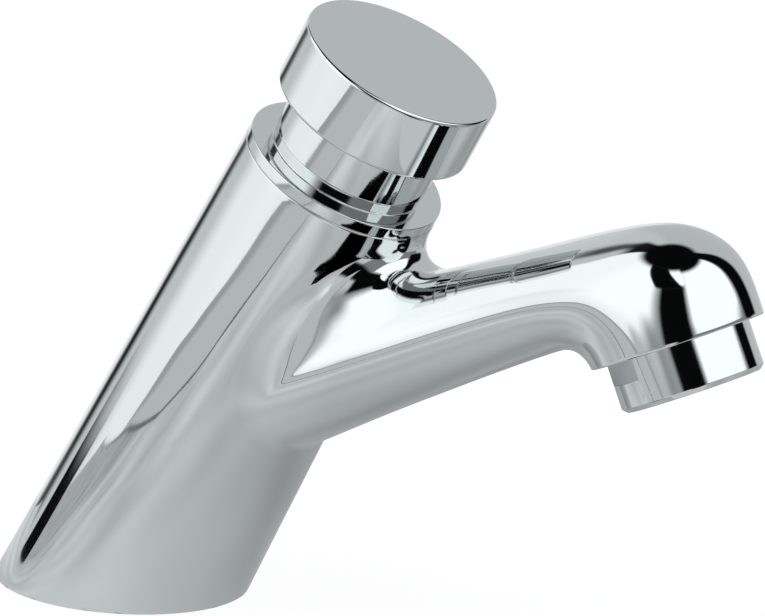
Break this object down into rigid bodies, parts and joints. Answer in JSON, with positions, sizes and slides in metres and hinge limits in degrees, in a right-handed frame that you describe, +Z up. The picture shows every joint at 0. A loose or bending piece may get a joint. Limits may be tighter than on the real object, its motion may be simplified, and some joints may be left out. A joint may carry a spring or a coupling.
{
  "type": "push timed tap",
  "caption": "Deck-mounted tap with a leaning conical body, a round cast spout and a large push button that opens a spring-returned, self-closing valve.",
  "frame": {"origin": "centre of the tap hole on top of the deck, which is the centre of the foot's flat face", "axes": "+Z up from the deck; +X towards the spout's outlet, in the plane of the leaning body"},
  "size_m": [0.1701, 0.0472, 0.1873],
  "materials": {
    "cast_chrome": "polished chrome plate on a brass casting",
    "turned_chrome": "bright chrome plate on turned brass",
    "button_chrome": "bright chrome plate, fine turned top",
    "cartridge_brass": "bare turned brass",
    "shank_brass": "bare threaded brass",
    "stainless": "turned or pressed stainless steel",
    "spring_steel": "drawn stainless spring wire",
    "black_rubber": "moulded rubber",
    "fibre_gasket": "pressed fibre",
    "white_plastic": "moulded acetal",
    "grey_plastic": "moulded grey plastic"
  },
  "bodies": {
    "tap_body": {"body_casting": "cast_chrome", "bonnet_nut": "turned_chrome", "neck_sleeve": "turned_chrome", "cartridge_barrel": "cartridge_brass", "cartridge_seals": "black_rubber", "seat_gasket": "fibre_gasket", "valve_seat": "cartridge_brass", "lower_bush": "white_plastic", "cartridge_cap": "cartridge_brass", "stem_seal": "black_rubber", "stem_bush": "cartridge_brass", "stem_clip": "spring_steel", "return_spring": "spring_steel", "inlet_shank": "shank_brass", "shank_gasket": "fibre_gasket", "base_gasket": "black_rubber", "deck_washer": "black_rubber", "clamp_washer": "stainless", "backnut": "shank_brass", "inlet_strainer": "stainless", "outlet_housing": "turned_chrome", "outlet_washer": "black_rubber", "outlet_strainer": "stainless", "flow_regulator": "black_rubber", "jet_plate_cup": "grey_plastic", "outlet_grid": "grey_plastic"},
    "push_group": {"push_button": "button_chrome", "button_locknut": "stainless", "spindle": "stainless", "piston": "white_plastic", "cup_seal": "black_rubber", "piston_clip": "spring_steel", "valve_washer": "black_rubber", "valve_disc": "cartridge_brass", "valve_nut": "cartridge_brass"}
  },
  "joints": [
    {"name": "button_push", "type": "slide", "parent": "tap_body", "child": "push_group", "axis": [-0.4802, 0, -0.8771], "range_m": [0, 0.0075], "stiffness_N_per_m": 1500, "springref_m": -0.006, "deforming": ["return_spring"]}
  ]
}
